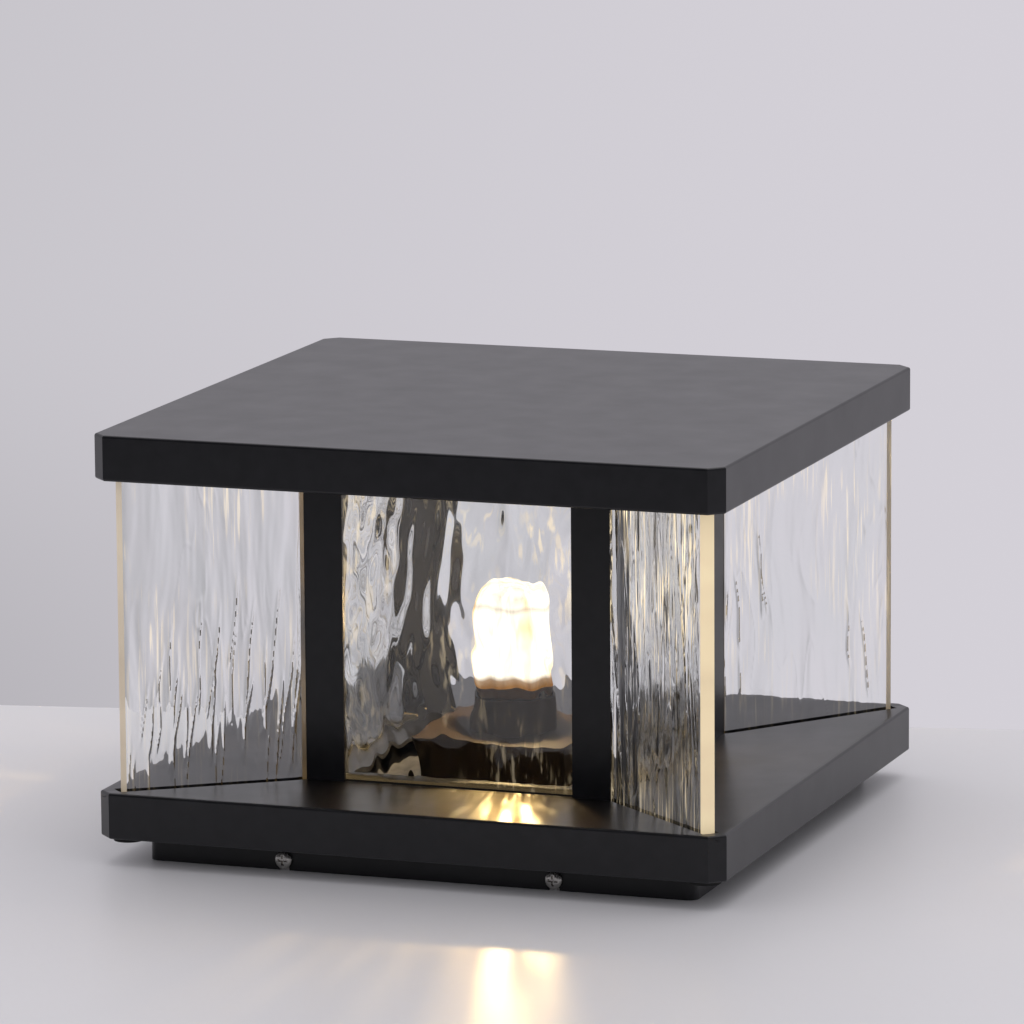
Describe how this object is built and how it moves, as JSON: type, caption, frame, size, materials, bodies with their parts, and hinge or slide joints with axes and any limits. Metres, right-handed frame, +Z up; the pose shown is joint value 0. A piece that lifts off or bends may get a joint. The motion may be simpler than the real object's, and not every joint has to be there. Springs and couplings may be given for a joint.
{
  "type": "post cap light",
  "caption": "Square black post cap light: roof and tray slabs, a glazed core and diagonal rippled glass fins, on a bracket.",
  "frame": {"origin": "centre of the bracket's underside, on the top of the pier", "axes": "+Z up, -Y towards the front in the picture's view, +X to the right"},
  "size_m": [0.3, 0.3, 0.1995],
  "materials": {
    "black_coat": "fine-textured black powder coat",
    "black_hardware": "blackened steel",
    "black_rubber": "matt rubber",
    "pane_glass": "clear water glass with long waves",
    "fin_glass": "clear cast glass with a rippled face and warm edges",
    "zinc_hardware": "zinc plated steel",
    "galvanised_sheet": "dark coated steel sheet",
    "white_plastic": "natural polyamide",
    "black_plastic": "black phenolic moulding",
    "brown_lead": "brown insulation",
    "blue_lead": "blue insulation",
    "brass": "pressed brass",
    "bulb_metal": "nickel plated shell",
    "bulb_solder": "soldered tip",
    "bulb_collar": "dark collar",
    "bulb_glass": "clear bulb glass",
    "bulb_phosphor": "yellow filament coating, lit in use",
    "stainless": "bright stainless steel"
  },
  "bodies": {
    "bracket": {"bracket_plate": "galvanised_sheet", "tab_nuts": "zinc_hardware", "gear_tray": "galvanised_sheet", "gear_screws": "zinc_hardware", "cable_grommet": "black_rubber", "terminal_block": "white_plastic", "terminal_screws": "zinc_hardware", "lead_live": "brown_lead", "lead_neutral": "blue_lead", "earth_screw": "brass", "earth_washer": "brass", "holder_plinth": "black_plastic", "plinth_screws": "zinc_hardware", "lamp_holder": "black_plastic", "holder_screw_shell": "brass", "holder_contact": "brass", "holder_screws": "zinc_hardware", "holder_nuts": "zinc_hardware"},
    "head": {"roof_shell": "black_coat", "ceiling_plate": "black_coat", "base_tray": "black_coat", "floor_plate": "black_coat", "skirt": "black_coat", "skirt_rivets": "black_hardware", "corner_bumpers": "black_rubber", "post_back_right": "black_coat", "post_back_left": "black_coat", "post_front_left": "black_coat", "post_front_right": "black_coat", "pane_right": "pane_glass", "pane_back": "pane_glass", "pane_left": "pane_glass", "pane_front": "pane_glass", "pane_seals_lower": "black_rubber", "pane_seals_upper": "black_rubber", "fin_back_right": "fin_glass", "fin_back_left": "fin_glass", "fin_front_left": "fin_glass", "fin_front_right": "fin_glass", "fin_channels_lower": "black_coat", "fin_strips_lower": "black_rubber", "fin_channels_upper": "black_coat", "fin_strips_upper": "black_rubber", "roof_screws": "black_hardware", "post_screws_upper": "zinc_hardware", "post_screws_lower": "zinc_hardware", "floor_screws": "black_hardware"},
    "bulb": {"bulb_tip": "bulb_solder", "bulb_cap": "bulb_metal", "bulb_collar": "bulb_collar", "bulb_glass": "bulb_glass", "bulb_stem": "bulb_metal", "bulb_filaments": "bulb_phosphor"},
    "side_screw_front_left": {"side_screw_front_left": "stainless"},
    "side_screw_front_right": {"side_screw_front_right": "stainless"},
    "side_screw_back_left": {"side_screw_back_left": "stainless"},
    "side_screw_back_right": {"side_screw_back_right": "stainless"}
  },
  "joints": [
    {"name": "head_lift", "type": "slide", "parent": "bracket", "child": "head", "axis": [0, 0, 1], "range_m": [0, 0.125]},
    {"name": "bulb_unscrew", "type": "slide", "parent": "bracket", "child": "bulb", "axis": [0, 0, 1], "range_m": [0, 0.024]},
    {"name": "side_screw_front_left_back_off", "type": "slide", "parent": "bracket", "child": "side_screw_front_left", "axis": [0, -1, 0], "range_m": [0, 0.008]},
    {"name": "side_screw_front_right_back_off", "type": "slide", "parent": "bracket", "child": "side_screw_front_right", "axis": [0, -1, 0], "range_m": [0, 0.008]},
    {"name": "side_screw_back_left_back_off", "type": "slide", "parent": "bracket", "child": "side_screw_back_left", "axis": [0, 1, 0], "range_m": [0, 0.008]},
    {"name": "side_screw_back_right_back_off", "type": "slide", "parent": "bracket", "child": "side_screw_back_right", "axis": [0, 1, 0], "range_m": [0, 0.008]}
  ]
}
